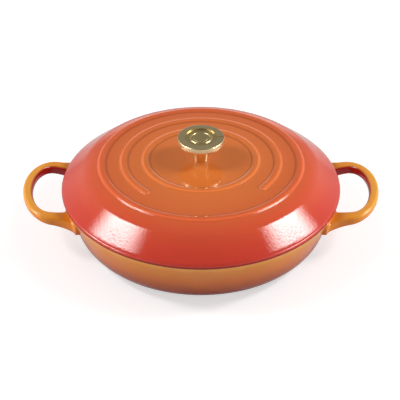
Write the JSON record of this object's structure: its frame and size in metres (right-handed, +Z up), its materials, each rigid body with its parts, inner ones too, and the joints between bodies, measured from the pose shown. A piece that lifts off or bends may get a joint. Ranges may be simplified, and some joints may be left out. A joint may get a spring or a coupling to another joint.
{
  "type": "braiser",
  "caption": "Low flared cast-iron braiser with two loop handles, a domed lid with concentric raised rings and a turned metal knob.",
  "frame": {"origin": "centre of the foot ring on the table, under the middle of the pot", "axes": "+Z up through the knob, X through both handles, front faces -Y"},
  "size_m": [0.3996, 0.3124, 0.1266],
  "materials": {
    "pot_enamel": "gloss enamel, yellow orange at the rim to red brown at the base",
    "lid_enamel": "gloss enamel, orange crown to red rim",
    "knob_metal": "polished band, finely turned top",
    "inlay_metal": "finely turned",
    "screw_steel": "satin",
    "washer_steel": "satin"
  },
  "bodies": {
    "pot": {"pot": "pot_enamel"},
    "lid": {"lid": "lid_enamel", "knob": "knob_metal", "knob_inlay": "inlay_metal", "knob_screw": "screw_steel", "lock_washer": "washer_steel"}
  },
  "joints": [
    {"name": "lid_lift", "type": "slide", "parent": "pot", "child": "lid", "axis": [0, 0, 1], "range_m": [0, 0.15]}
  ]
}
